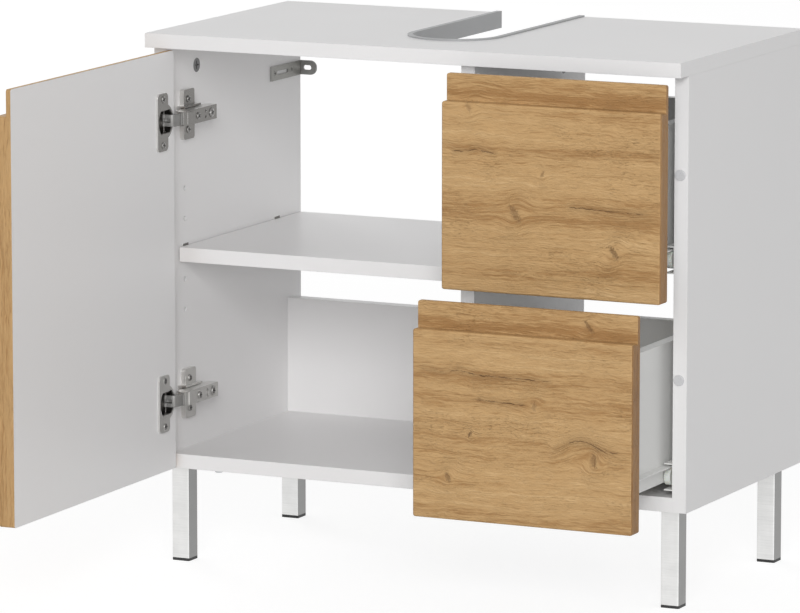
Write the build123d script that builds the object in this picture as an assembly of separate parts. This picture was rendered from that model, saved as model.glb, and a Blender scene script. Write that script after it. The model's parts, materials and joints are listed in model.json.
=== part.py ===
from build123d import *
import os
from math import atan2, cos, degrees, hypot, radians, sin

# Vanity base cabinet with one door, two drawers on roller runners and steel tube legs.
# X runs along the width, Y from the front to the rear, Z up from the floor. Millimetres.
# Modelled as it stands: door swung open, both drawers pulled out.

# Overall
width = 600
depth = 330
height = 559
board = 15
front_overhang = 21

# Stand
leg_height = 101
leg_size = 20
leg_wall = 1.5
leg_corner = 1.5
leg_inset_x = 11.7
leg_front_setback = 11
leg_rear_setback = 22
leg_plate_size = 60
leg_plate_thickness = 2
leg_plate_corner = 6
leg_screw_inset = 8.5
leg_screw_head = 4.6
leg_screw_head_height = 3
pad_thickness = 3
pad_plug_height = 12
pad_plug_clearance = 0.1

# Siphon cut-out and its edging profile
cutout_centre_x = -1
cutout_width = 90
cutout_depth = 254
edging_wall = 1.5
edging_lip = 6

# Divider, shelf and rear rail
divider_shift = 1.4
rail_height = 124.5
rail_setback = 17.4
shelf_rise = 3.5
shelf_setback = 22
shelf_rear_gap = 2
shelf_end_gap = 1.5

# Shelf supports
pin_radius = 2.5
pin_hole_radius = 2.55
pin_hole_depth = 10
pin_length = 9
pin_pitch = 32
pin_rows_each_way = 2
pin_front = 37
pin_rear = 250
support_drop = 232
support_leg = 1.2
support_width = 12
support_plate = 1.5
support_reach = 13

# Knock-down fittings
cam_radius = 7.5
cam_depth = 12.2
cam_setback = 27
cam_bore_radius = 3.6
cam_cross_length = 9
cam_cross_width = 1.6
cam_cross_depth = 1.5
bolt_radius = 3.4
bolt_neck_radius = 1.6
bolt_thread_radius = 2.5
bolt_thread_length = 10
bolt_head_height = 2.4
fit = 0.05
side_cam_front = 66
side_cam_rear = 242
divider_cam_rear = 221.5
base_cam_front = 90
base_cam_rear = 210
dowel_radius = 4
dowel_length = 30
dowel_far_depth = 10
dowel_front = 40
dowel_rear = 196
divider_screw_front = 60
divider_screw_rear = 200
confirmat_radius = 3.3
confirmat_head_radius = 4.8
confirmat_head_height = 3.5
confirmat_length = 45
rail_fixing_low = 34
rail_fixing_high = 94
rail_screw_inset = 120

# Fronts
front_gap = 2
front_plate = 5
front_field = 13
front_rounding = 2
front_corner = 2.5
lip_height = 27
fronts_top_drop = 18
fronts_bottom_rise = 1.6
fronts_gap_z = 3
door_width = 357.5
fronts_gap_x = 3.5
door_angle = 89

# Door hinges
hinge_inset = 72
cup_edge_distance = 4.7
cup_radius = 17.5
cup_wall = 1
cup_depth = 13.2
cup_floor = 0.8
cup_rim = 1.1
cup_rim_thickness = 0.8
cup_mouth_far = 38.2
cup_mouth_height = 24
cup_mouth_corner = 6
cup_fit = 0.05
flange_near = 17.5
flange_far = 41
flange_height = 60
flange_thickness = 2
flange_corner = 5
cup_screw_spacing = 48
cup_screw_offset = 6
cup_screw_length = 11

# Hinge linkage, in plan: pivots measured from the door's rear hinge-side corner
arm_pivot = (31.918, 0.944)
cup_pivot = (12, -6)
link_ratio = 0.41649
inner_arm_pivot = (24.45, 7.67)
inner_cup_pivot = (8.7, -7.18)
inner_link_length = 21.867
inner_link_angle = -106.1
outer_link_bends = [(1.0, 5.9), (5.6, 5.6), (9.6, 4.4), (12.4, 1.4)]
inner_link_bends = [(-7.4, 2.6), (-1.2, 3.5), (4.4, 3.4), (7.2, 1.2), (7.5, -4.0)]
link_thickness = 1.2
outer_link_height = 12.2
inner_link_height = 3.6
pivot_radius = 1
eye_radius = 1.9
inner_tip_radius = 1.5
pivot_fit = 0.05
link_end_gap = 0.3
fork_near = 6
fork_far = 2
fork_front = 4
fork_back = 0.5

# Hinge arm and mounting plate
arm_height = 15
arm_sheet = 1.2
arm_crown = 2.4
arm_flange_depth = 13
arm_nose = 2.2
arm_rear = 71.3
arm_tail_bevel = 12
arm_tail_step = 2
arm_band_front = 5
arm_band_rear = 20
arm_band_rise = 0.8
arm_hole_y = 46.8
arm_hole_z = 3
arm_hole_radius = 1.4
plate_line = 37
plate_front = 27
plate_rear = 51
plate_height = 52.5
plate_thickness = 5
plate_corner = 3
plate_screw_spacing = 32
plate_foot_front = 20
plate_foot_rear = 56
plate_rib_height = 10
plate_rib_thickness = 2
plate_rib_gap = 0.4
ridge_front = 24
ridge_rear = 68
ridge_side_gap = 0.3
clamp_screw_y = 60
clamp_washer_radius = 5
clamp_washer_thickness = 0.8
adjust_screw_y = 30

# Drawers
drawer_side = 12
drawer_box_top_drop = 49
drawer_box_foot_rise = 28.7
drawer_rear_gap = 4.6
runner_space = 12.5
drawer_base = 3
drawer_base_height = 10
drawer_groove = 5
drawer_groove_play = 0.1
drawer_groove_front = 4
upper_open = 50
lower_open = 117
drawer_dowel_radius = 3
drawer_dowel_length = 24
drawer_dowel_front_depth = 8
drawer_dowel_low = 35
drawer_dowel_high = 105
drawer_screw_radius = 2
drawer_screw_head = 3.8
drawer_screw_length = 40
drawer_hole_end = 0.5

# Roller runners, heights from the underside of the drawer box
runner_rear_gap = 24.6
runner_front = 2
runner_sheet = 1.2
drawer_rail_top = 16
drawer_rail_reach = 9.5
drawer_rail_foot = 11
cabinet_rail_near = 2.5
cabinet_rail_floor = -7.4
cabinet_rail_ceiling = 18.2
roller_radius = 9.5
roller_gap = 0.3
roller_near = 1.7
roller_far = 8.7
roller_chamfer = 0.6
axle_radius = 2
axle_fit = 0.05
axle_head_radius = 3.2
axle_head = 0.6
axle_end_gap = 0.2
front_roller_setback = 10
rear_roller_setback = 7
runner_screw_first = 37
runner_screw_end = 23
runner_screw_count = 3

# Wood screws for sheet parts
wood_screw_radius = 1.9
wood_screw_head = 3.6
wood_screw_head_height = 2.2
wood_screw_length = 12
sunk_screw_length = 11
sunk_head_radius = 3.1
head_rounding = 0.6

# Wall brackets
bracket_drop = 71
bracket_height = 15.5
bracket_sheet = 2
bracket_arm = 73
bracket_ear = 20
bracket_slot_length = 9.5
bracket_slot_width = 5
bracket_slot_x = 275.7
bracket_screw_first = 8.5
bracket_screw_pitch = 40
bracket_arm_slot_first = 13
bracket_arm_slot_length = 27
bracket_arm_slot_width = 4
bracket_corner = 7

# Bumpers
bumper_radius = 5.6
bumper_thickness = 1.7
bumper_inset = 8.5
bumper_upper_drop = 97
bumper_lower_drop = 83.9

# Derived planes
front_y = -depth / 2 + front_overhang
rear_y = depth / 2
half = width / 2
inner = half - board
top_under = height - board
base_top = leg_height + board
rail_front = rear_y - rail_setback - board
fronts_top = height - fronts_top_drop
fronts_bottom = leg_height + fronts_bottom_rise
front_height = (fronts_top - fronts_bottom - fronts_gap_z) / 2
lower_front_top = fronts_top - front_height - fronts_gap_z
support_z = height - support_drop
shelf_z = support_z + shelf_rise
runner_length = rail_front - front_y - runner_front - runner_rear_gap
front_roller_y = runner_front + front_roller_setback
rear_roller_y = runner_front + runner_length - rear_roller_setback
runner_screw_last = runner_front + runner_length - runner_screw_end
runner_screw_pitch = (runner_screw_last - runner_screw_first) / (runner_screw_count - 1)
drawer_box_length = rail_front - front_y + front_gap - drawer_rear_gap
drawer_box_height = front_height - drawer_box_top_drop - drawer_box_foot_rise
door_x = (-half, -half + door_width)
drawer_front_x = (door_x[1] + fronts_gap_x, half)
divider_x = (door_x[1] + drawer_front_x[0]) / 2 - divider_shift
divider_left = divider_x - board / 2
divider_right = divider_x + board / 2


def y_at(distance):
    return front_y + distance


def block(x, y, z):
    size = [limits[1] - limits[0] for limits in (x, y, z)]
    centre = [(limits[1] + limits[0]) / 2 for limits in (x, y, z)]
    return Pos(*centre) * Box(*size)


def rod(axis, centre, radius, span):
    middle = (span[0] + span[1]) / 2
    shape = Cylinder(radius, abs(span[1] - span[0]))
    if axis == "x":
        return Pos(middle, centre[0], centre[1]) * Rot(0, 90, 0) * shape
    if axis == "y":
        return Pos(centre[0], middle, centre[1]) * Rot(90, 0, 0) * shape
    return Pos(centre[0], centre[1], middle) * shape


def aimed(position, direction, shape):
    return Plane(origin=position, z_dir=direction).location * shape


os.makedirs("parts", exist_ok=True)


def save(name, shapes):
    solids = [solid for shape in shapes for solid in shape.solids()]
    export_step(Compound(children=solids), "parts/" + name + ".step")


def pan_screw(radius, head_radius, head_height, length):
    head = Cylinder(head_radius, head_height, align=(Align.CENTER, Align.CENTER, Align.MIN))
    head = fillet(head.faces().sort_by(Axis.Z)[-1].edges(), head_height * head_rounding)
    shank = Pos(0, 0, -length / 2) * Cylinder(radius, length)
    return head + shank


def sunk_screw(radius, head_radius, head_height, length):
    head = Pos(0, 0, -head_height / 2) * Cone(radius, head_radius, head_height)
    shank = Pos(0, 0, -length / 2) * Cylinder(radius, length)
    return head + shank


def sunk_hole(radius, head_radius, head_height, length):
    head = Pos(0, 0, -head_height / 2) * Cone(radius + fit, head_radius + fit, head_height)
    shank = Pos(0, 0, (1 - length - fit) / 2) * Cylinder(radius + fit, length + fit + 1)
    return head + shank


def bore(radius, length):
    return Pos(0, 0, (1 - length - fit) / 2) * Cylinder(radius + fit, length + fit + 1)


# Cam fittings. Local frame: +X out of the panel face, +Z towards the joined panel.
def cam_set():
    hook = rod("z", (-board / 2, 0), cam_bore_radius, (-bolt_head_height - 1, cam_radius + 1))
    cam = rod("x", (0, 0), cam_radius, (-cam_depth, 0)) - hook
    for long_y, long_z in ((cam_cross_length, cam_cross_width), (cam_cross_width, cam_cross_length)):
        cam -= Box(2 * cam_cross_depth, long_y, long_z)
    edge = cam_setback
    stem = rod("z", (-board / 2, 0), bolt_radius, (bolt_head_height, edge))
    neck = rod("z", (-board / 2, 0), bolt_neck_radius, (-bolt_head_height / 2, bolt_head_height))
    head = rod("z", (-board / 2, 0), bolt_radius - 0.6, (-bolt_head_height, 0))
    thread = rod("z", (-board / 2, 0), bolt_thread_radius, (edge, edge + bolt_thread_length))
    pocket = rod("x", (0, 0), cam_radius + fit, (-cam_depth - fit, 1))
    channel = rod("z", (-board / 2, 0), cam_bore_radius, (-bolt_head_height - 1, edge + 0.01))
    far = rod("z", (-board / 2, 0), bolt_thread_radius + fit, (edge - 1, edge + bolt_thread_length + fit))
    return cam, stem + neck + head + thread, pocket + channel, far


cam_shape, bolt_shape, cam_cut, bolt_cut = cam_set()
cam_z = top_under - cam_setback
cams = []
bolts = []
cuts = {name: [] for name in ("top", "left", "right", "divider", "base", "rail", "shelf", "door")}


def place_cam(location, near, far):
    cams.append(location * cam_shape)
    bolts.append(location * bolt_shape)
    cuts[near].append(location * cam_cut)
    cuts[far].append(location * bolt_cut)


for distance in (side_cam_front, side_cam_rear):
    place_cam(Pos(-inner, y_at(distance), cam_z), "left", "top")
    place_cam(Pos(inner, y_at(distance), cam_z) * Rot(0, 0, 180), "right", "top")
for distance in (side_cam_front, divider_cam_rear):
    place_cam(Pos(divider_right, y_at(distance), cam_z), "divider", "top")
for distance in (base_cam_front, base_cam_rear):
    base_cam_x = inner - cam_setback
    place_cam(Pos(base_cam_x, y_at(distance), leg_height) * Rot(0, 90, 0), "base", "right")
    place_cam(Pos(-base_cam_x, y_at(distance), leg_height) * Rot(0, 0, 180) * Rot(0, 90, 0), "base", "left")

# Dowels between panels
dowels = []
dowel_near_depth = dowel_length - dowel_far_depth


def place_dowel(position, direction, near, far):
    peg = Cylinder(dowel_radius, dowel_length - 1)
    peg = Pos(0, 0, (dowel_far_depth - dowel_near_depth) / 2) * peg
    hole = Pos(0, 0, (dowel_far_depth - dowel_near_depth) / 2) * Cylinder(dowel_radius + fit, dowel_length)
    dowels.append(aimed(position, direction, peg))
    cuts[near].append(aimed(position, direction, hole))
    cuts[far].append(aimed(position, direction, hole))


for distance in (dowel_front, dowel_rear):
    for x, name in ((-inner - board / 2, "left"), (inner + board / 2, "right"), (divider_x, "divider")):
        place_dowel((x, y_at(distance), top_under), (0, 0, 1), name, "top")
    for sign, name in ((-1, "left"), (1, "right")):
        place_dowel((sign * inner, y_at(distance), leg_height + board / 2), (sign, 0, 0), "base", name)
for rise in (rail_fixing_low, rail_fixing_high):
    for sign, name in ((-1, "left"), (1, "right")):
        rail_middle = rail_front + board / 2
        place_dowel((sign * inner, rail_middle, base_top + rise), (sign, 0, 0), "rail", name)

# Long screws that hold the divider and the rear rail
confirmats = []
confirmat = sunk_screw(confirmat_radius, confirmat_head_radius, confirmat_head_height, confirmat_length)
confirmat_hole = sunk_hole(confirmat_radius, confirmat_head_radius, confirmat_head_height, confirmat_length)


def place_confirmat(position, direction, names):
    confirmats.append(aimed(position, direction, confirmat))
    for name in names:
        cuts[name].append(aimed(position, direction, confirmat_hole))


for distance in (divider_screw_front, divider_screw_rear):
    place_confirmat((divider_x, y_at(distance), leg_height), (0, 0, -1), ("base", "divider"))
for rise in (rail_fixing_low, rail_fixing_high):
    place_confirmat((divider_x, rail_front + board, base_top + rise), (0, 1, 0), ("rail", "divider"))
for sign in (-1, 1):
    rail_screw = (sign * (inner - rail_screw_inset), rail_front + board / 2, leg_height)
    place_confirmat(rail_screw, (0, 0, -1), ("base", "rail"))

# Shelf supports and the rows of holes for them
supports = []
pin_heights = [support_z + row * pin_pitch for row in range(-pin_rows_each_way, pin_rows_each_way + 1)]
for wall, out, name in ((-inner, 1, "left"), (divider_left, -1, "divider")):
    for distance, heights in ((pin_front, pin_heights), (pin_rear, [support_z])):
        for z in heights:
            span = sorted((wall + out, wall - out * pin_hole_depth))
            cuts[name].append(rod("x", (y_at(distance), z), pin_hole_radius, span))
        y_span = (y_at(distance) - support_width / 2, y_at(distance) + support_width / 2)
        shelf_under = shelf_z - board
        leg_span = sorted((wall, wall + out * support_leg))
        foot_span = sorted((wall, wall + out * support_reach))
        pin = rod("x", (y_at(distance), support_z), pin_radius, sorted((wall - out * pin_length, wall)))
        leg = block(leg_span, y_span, (shelf_under - support_plate, support_z + support_width / 2))
        foot = block(foot_span, y_span, (shelf_under - support_plate, shelf_under))
        supports.append(pin + leg + foot)

# Legs, their plates, pads and screws
legs = {}
pads = []
plates = []
leg_screws = []
pan = pan_screw(wood_screw_radius, wood_screw_head, wood_screw_head_height, wood_screw_length)
pan_bore = bore(wood_screw_radius, wood_screw_length)
leg_pan = pan_screw(wood_screw_radius, leg_screw_head, leg_screw_head_height, wood_screw_length)
plate_under = leg_height - leg_plate_thickness
for side_name, sign in (("left", -1), ("right", 1)):
    for end_name, end in (("front", -1), ("rear", 1)):
        outer_x = half - leg_inset_x
        outer_y = y_at(leg_front_setback) if end < 0 else rear_y - leg_rear_setback
        middle_x = sign * (outer_x - leg_size / 2)
        middle_y = outer_y - end * leg_size / 2
        tube = Box(leg_size, leg_size, plate_under - pad_thickness)
        tube = fillet(tube.edges().filter_by(Axis.Z), leg_corner)
        tube -= Box(leg_size - 2 * leg_wall, leg_size - 2 * leg_wall, height)
        tube = Pos(middle_x, middle_y, (plate_under + pad_thickness) / 2) * tube
        legs["leg_" + end_name + "_" + side_name] = tube
        foot = fillet(Box(leg_size, leg_size, pad_thickness).edges().filter_by(Axis.Z), leg_corner)
        plug_size = leg_size - 2 * (leg_wall + pad_plug_clearance)
        plug = Box(plug_size, plug_size, pad_plug_height)
        plug = Pos(middle_x, middle_y, pad_thickness + pad_plug_height / 2) * plug
        pads.append(Pos(middle_x, middle_y, pad_thickness / 2) * foot + plug)
        plate = Box(leg_plate_size, leg_plate_size, leg_plate_thickness)
        plate = fillet(plate.edges().filter_by(Axis.Z), leg_plate_corner)
        plate_x = sign * (outer_x - leg_plate_size / 2)
        plate_y = outer_y - end * leg_plate_size / 2
        plate = Pos(plate_x, plate_y, leg_height - leg_plate_thickness / 2) * plate
        reach = leg_plate_size - leg_screw_inset
        spots = ((reach, leg_screw_inset), (reach, reach), (leg_screw_inset, reach))
        for dx, dy in spots:
            spot = (sign * (outer_x - dx), outer_y - end * dy, plate_under)
            leg_screws.append(aimed(spot, (0, 0, -1), leg_pan))
            hole = aimed(spot, (0, 0, -1), pan_bore)
            plate -= hole
            cuts["base"].append(hole)
        plates.append(plate)

# Flat-headed screws for sheet parts that something slides over or stands against
sunk = sunk_screw(wood_screw_radius, sunk_head_radius, runner_sheet, sunk_screw_length)
sunk_cut = sunk_hole(wood_screw_radius, sunk_head_radius, runner_sheet, sunk_screw_length)

# Wall brackets: an arm on the side's inner face and a slotted ear across the open back
brackets = []
bracket_screws = []
bracket_z = height - bracket_drop
for sign, name in ((-1, "left"), (1, "right")):
    arm_x = sorted((sign * inner, sign * (inner - bracket_sheet)))
    ear_x = sorted((sign * inner, sign * (inner - bracket_ear)))
    z_span = (bracket_z - bracket_height / 2, bracket_z + bracket_height / 2)
    arm = block(arm_x, (rear_y - bracket_arm, rear_y), z_span)
    ear = block(ear_x, (rear_y - bracket_sheet, rear_y), z_span)
    ends = ear.edges().filter_by(Axis.Y).sort_by(Axis.X)
    ear = fillet(ends[-2:] if sign < 0 else ends[:2], bracket_corner)
    slot = SlotOverall(bracket_slot_length, bracket_slot_width, align=(Align.CENTER, Align.CENTER))
    slot = extrude(Plane.XZ * slot, 4 * bracket_sheet, both=True)
    bracket = arm + ear - Pos(sign * bracket_slot_x, rear_y, bracket_z) * slot
    arm_slot = SlotOverall(bracket_arm_slot_length, bracket_arm_slot_width, align=(Align.MIN, Align.CENTER))
    arm_slot = extrude(Plane.YZ * arm_slot, 2 * bracket_sheet, both=True)
    slot_y = rear_y - bracket_arm + bracket_arm_slot_first
    bracket -= Pos(sign * inner, slot_y, bracket_z) * arm_slot
    for index in range(2):
        spot_y = rear_y - bracket_arm + bracket_screw_first + index * bracket_screw_pitch
        spot = (sign * (inner - bracket_sheet), spot_y, bracket_z)
        bracket_screws.append(aimed(spot, (-sign, 0, 0), sunk))
        hole = aimed(spot, (-sign, 0, 0), sunk_cut)
        bracket -= hole
        cuts[name].append(hole)
    brackets.append(bracket)

# Bumpers on the right side's front edge
bumpers = []
for pad_z in (fronts_top - bumper_upper_drop, lower_front_top - bumper_lower_drop):
    pad = rod("y", (half - bumper_inset, pad_z), bumper_radius, (front_y - bumper_thickness, front_y))
    bumpers.append(fillet(pad.faces().sort_by(Axis.Y)[0].edges(), bumper_thickness / 2))

# Hinge plan geometry: where the door's corner and the links are when the door stands open
closed_corner = Vector(-half, front_y - front_gap)
arm_pin = closed_corner + Vector(*arm_pivot)
inner_pin = closed_corner + Vector(*inner_arm_pivot)


def turned(vector, angle):
    c = cos(radians(angle))
    s = sin(radians(angle))
    return Vector(vector.X * c - vector.Y * s, vector.X * s + vector.Y * c)


closed_link = closed_corner + Vector(*cup_pivot) - arm_pin
cup_pin = arm_pin + turned(closed_link, link_ratio * door_angle)
open_corner = cup_pin - turned(Vector(*cup_pivot), -door_angle)


def on_door(point):
    return open_corner + turned(Vector(*point), -door_angle)


inner_tip = inner_pin + turned(Vector(inner_link_length, 0), inner_link_angle)
to_open = Pos(open_corner.X, open_corner.Y, 0) * Rot(0, 0, -door_angle)
to_open = to_open * Pos(-closed_corner.X, -closed_corner.Y, 0)
hinge_heights = (fronts_top - hinge_inset, fronts_bottom + hinge_inset)


def strip(points, thickness, z):
    shape = None
    for start, end in zip(points[:-1], points[1:]):
        run = end - start
        middle = (start + end) * 0.5
        turn = degrees(atan2(run.Y, run.X))
        bar = Pos(middle.X, middle.Y, (z[0] + z[1]) / 2) * Rot(0, 0, turn)
        bar = bar * Box(hypot(run.X, run.Y), thickness, z[1] - z[0])
        knee = rod("z", (end.X, end.Y), thickness / 2, z)
        shape = bar + knee if shape is None else shape + bar + knee
    return shape


outer_links = []
inner_links = []
hinge_pins = []
arms = []
hinge_plates = []
hinge_plate_screws = []
hinge_arm_screws = []
outer_points = [arm_pin] + [on_door(point) for point in outer_link_bends] + [cup_pin]
inner_points = [inner_pin] + [on_door(point) for point in inner_link_bends] + [inner_tip]
crown_inner = arm_pin.X + arm_crown
crown_outer = crown_inner + arm_sheet
pin_hole = pivot_radius + pivot_fit
for z in hinge_heights:
    full = (z - outer_link_height / 2, z + outer_link_height / 2)
    core = (z - inner_link_height / 2, z + inner_link_height / 2)
    window = (core[0] - link_end_gap, core[1] + link_end_gap)
    # Outer link: a full-height plate that forks round the inner link near the cup
    link = strip(outer_points[:-1], link_thickness, full)
    link += strip(outer_points[-2:], link_thickness, full)
    link += rod("z", (arm_pin.X, arm_pin.Y), eye_radius, full)
    link += rod("z", (cup_pin.X, cup_pin.Y), eye_radius, full)
    fork_end = outer_points[2]
    fork_x = (cup_pin.X - fork_near, fork_end.X + fork_far)
    fork = block(fork_x, (cup_pin.Y - fork_front, fork_end.Y - fork_back), window)
    link -= fork
    link -= rod("z", (arm_pin.X, arm_pin.Y), pin_hole, (z - arm_height, z + arm_height))
    link -= rod("z", (cup_pin.X, cup_pin.Y), pin_hole, (z - arm_height, z + arm_height))
    outer_links.append(link)
    # Inner link: a narrow bent bar whose far end is left free beside its cup pivot
    bar = strip(inner_points, link_thickness, core)
    bar += rod("z", (inner_pin.X, inner_pin.Y), eye_radius, core)
    bar += rod("z", (inner_tip.X, inner_tip.Y), inner_tip_radius, core)
    bar -= rod("z", (inner_pin.X, inner_pin.Y), pin_hole, (z - arm_height, z + arm_height))
    inner_links.append(bar)
    # Arm: a folded channel, open towards the side panel, with a bevelled nose
    rear = y_at(arm_rear)
    nose = arm_pin.Y - arm_nose
    floor = crown_outer - arm_flange_depth
    arm_z = (z - arm_height / 2, z + arm_height / 2)
    outline = [(crown_outer, nose), (crown_outer, rear)]
    outline += [(floor + arm_tail_step, rear), (floor, rear - arm_tail_bevel)]
    outline += [(floor, inner_pin.Y - arm_nose), (arm_pin.X - arm_nose, nose)]
    profile = make_face(Polyline(*outline, close=True))
    arm = Pos(0, 0, arm_z[0]) * extrude(profile, arm_height)
    hollow_z = (arm_z[0] + arm_sheet, arm_z[1] - arm_sheet)
    arm -= block((floor - 1, crown_inner), (nose - 1, rear + 1), hollow_z)
    band_y = (y_at(arm_band_front), y_at(arm_band_rear))
    arm += block((crown_inner, crown_outer + arm_band_rise), band_y, hollow_z)
    for offset in (-arm_hole_z, arm_hole_z):
        arm -= rod("x", (y_at(arm_hole_y), z + offset), arm_hole_radius, (crown_inner - 1, crown_outer + 1))
    for pin in (arm_pin, inner_pin):
        hinge_pins.append(rod("z", (pin.X, pin.Y), pivot_radius, arm_z))
        arm -= rod("z", (pin.X, pin.Y), pin_hole, (arm_z[0] - 1, arm_z[1] + 1))
    # Mounting plate: a winged base on the 37 mm line, with a ridge inside the arm and a rib on each side
    wing_x = (-inner, -inner + plate_thickness)
    line_y = y_at(plate_line)
    wing_z = (z - plate_height / 2, z + plate_height / 2)
    wing = block(wing_x, (y_at(plate_front), y_at(plate_rear)), wing_z)
    wing = fillet(wing.edges().filter_by(Axis.X), plate_corner)
    ridge_z = (hollow_z[0] + ridge_side_gap, hollow_z[1] - ridge_side_gap)
    ridge_y = (y_at(ridge_front), y_at(ridge_rear))
    ridge = block((-inner, crown_inner - ridge_side_gap), ridge_y, ridge_z)
    rib_inner = arm_height / 2 + plate_rib_gap
    rib_outer = rib_inner + plate_rib_thickness
    foot_y = (y_at(plate_foot_front), y_at(plate_foot_rear))
    foot = block(wing_x, foot_y, (z - rib_outer, z + rib_outer))
    plate = wing + ridge + foot
    for side in (-1, 1):
        rib_z = sorted((z + side * rib_inner, z + side * rib_outer))
        plate += block((-inner, -inner + plate_rib_height), foot_y, rib_z)
    for offset in (-plate_screw_spacing / 2, plate_screw_spacing / 2):
        spot = (-inner + plate_thickness, line_y, z + offset)
        hinge_plate_screws.append(aimed(spot, (1, 0, 0), pan))
        hole = aimed(spot, (1, 0, 0), pan_bore)
        plate -= hole
        cuts["left"].append(hole)
    washer = Pos(0, 0, clamp_washer_thickness / 2) * Cylinder(clamp_washer_radius, clamp_washer_thickness)
    for distance, shape in ((adjust_screw_y, pan), (clamp_screw_y, pan + washer)):
        spot = (crown_outer, y_at(distance), z)
        hinge_arm_screws.append(aimed(spot, (1, 0, 0), shape))
        hole = aimed(spot, (1, 0, 0), pan_bore)
        plate -= hole
        arm -= hole
    arms.append(arm)
    hinge_plates.append(plate)


# Fronts: a thin board whose raised field stops below the top and leaves a lip for the fingers
def front_panel(x, z):
    back_y = front_y - front_gap
    thin = block(x, (back_y - front_plate, back_y), z)
    thin = fillet(thin.edges().filter_by(Axis.Y), front_corner)
    field_y = (back_y - front_plate - front_field, back_y - front_plate)
    field = block(x, field_y, (z[0], z[1] - lip_height))
    field = fillet(field.edges().filter_by(Axis.Y), front_corner)
    field = fillet(field.faces().sort_by(Axis.Y)[0].edges(), front_rounding)
    return thin + field


door = front_panel(door_x, (fronts_bottom, fronts_top))
cup_x = -half + cup_edge_distance + cup_radius
door_back = front_y - front_gap
cups = []
cup_screws = []
for z in hinge_heights:
    pocket = rod("y", (cup_x, z), cup_radius + cup_fit, (door_back - cup_depth - cup_fit, door_back + 1))
    door -= pocket
    outline = rod("y", (cup_x, z), cup_radius, (door_back - cup_depth, door_back))
    shell = outline + rod("y", (cup_x, z), cup_radius + cup_rim, (door_back, door_back + cup_rim_thickness))
    flange_x = (-half + flange_near, -half + flange_far)
    flange_z = (z - flange_height / 2, z + flange_height / 2)
    flange = block(flange_x, (door_back, door_back + flange_thickness), flange_z)
    flange = fillet(flange.edges().filter_by(Axis.Y), flange_corner)
    shell += flange
    cavity_y = (door_back - cup_depth + cup_floor, door_back + 2)
    mouth_x = (-half, -half + cup_mouth_far)
    mouth = block(mouth_x, cavity_y, (z - cup_mouth_height / 2, z + cup_mouth_height / 2))
    mouth = fillet(mouth.edges().filter_by(Axis.Y).sort_by(Axis.X)[-2:], cup_mouth_corner)
    shell -= rod("y", (cup_x, z), cup_radius - cup_wall, cavity_y) & mouth
    reach = cup_radius - cup_wall / 2
    for pivot in (cup_pivot, inner_cup_pivot):
        pin_x = -half + pivot[0]
        pin_y = closed_corner.Y + pivot[1]
        chord = (reach ** 2 - (pin_x - cup_x) ** 2) ** 0.5
        stub = inner_link_height / 2 + link_end_gap
        for side in (-1, 1):
            span = sorted((z + side * stub, z + side * chord))
            shell += rod("z", (pin_x, pin_y), pivot_radius, span) & outline
    for offset in (-cup_screw_spacing / 2, cup_screw_spacing / 2):
        spot = (cup_x + cup_screw_offset, door_back + flange_thickness, z + offset)
        hole = aimed(spot, (0, 1, 0), bore(wood_screw_radius, cup_screw_length))
        screw = pan_screw(wood_screw_radius, wood_screw_head, wood_screw_head_height, cup_screw_length)
        cup_screws.append(to_open * aimed(spot, (0, 1, 0), screw))
        shell -= hole
        door -= hole
    cups.append(to_open * shell)
door = to_open * door


# Drawers: one box and runner pair, built once per compartment
box_right = inner - runner_space
box_left = divider_right + runner_space
runner_sides = ((box_left, -1, "divider"), (box_right, 1, "right"))
runner_screws = []


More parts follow.
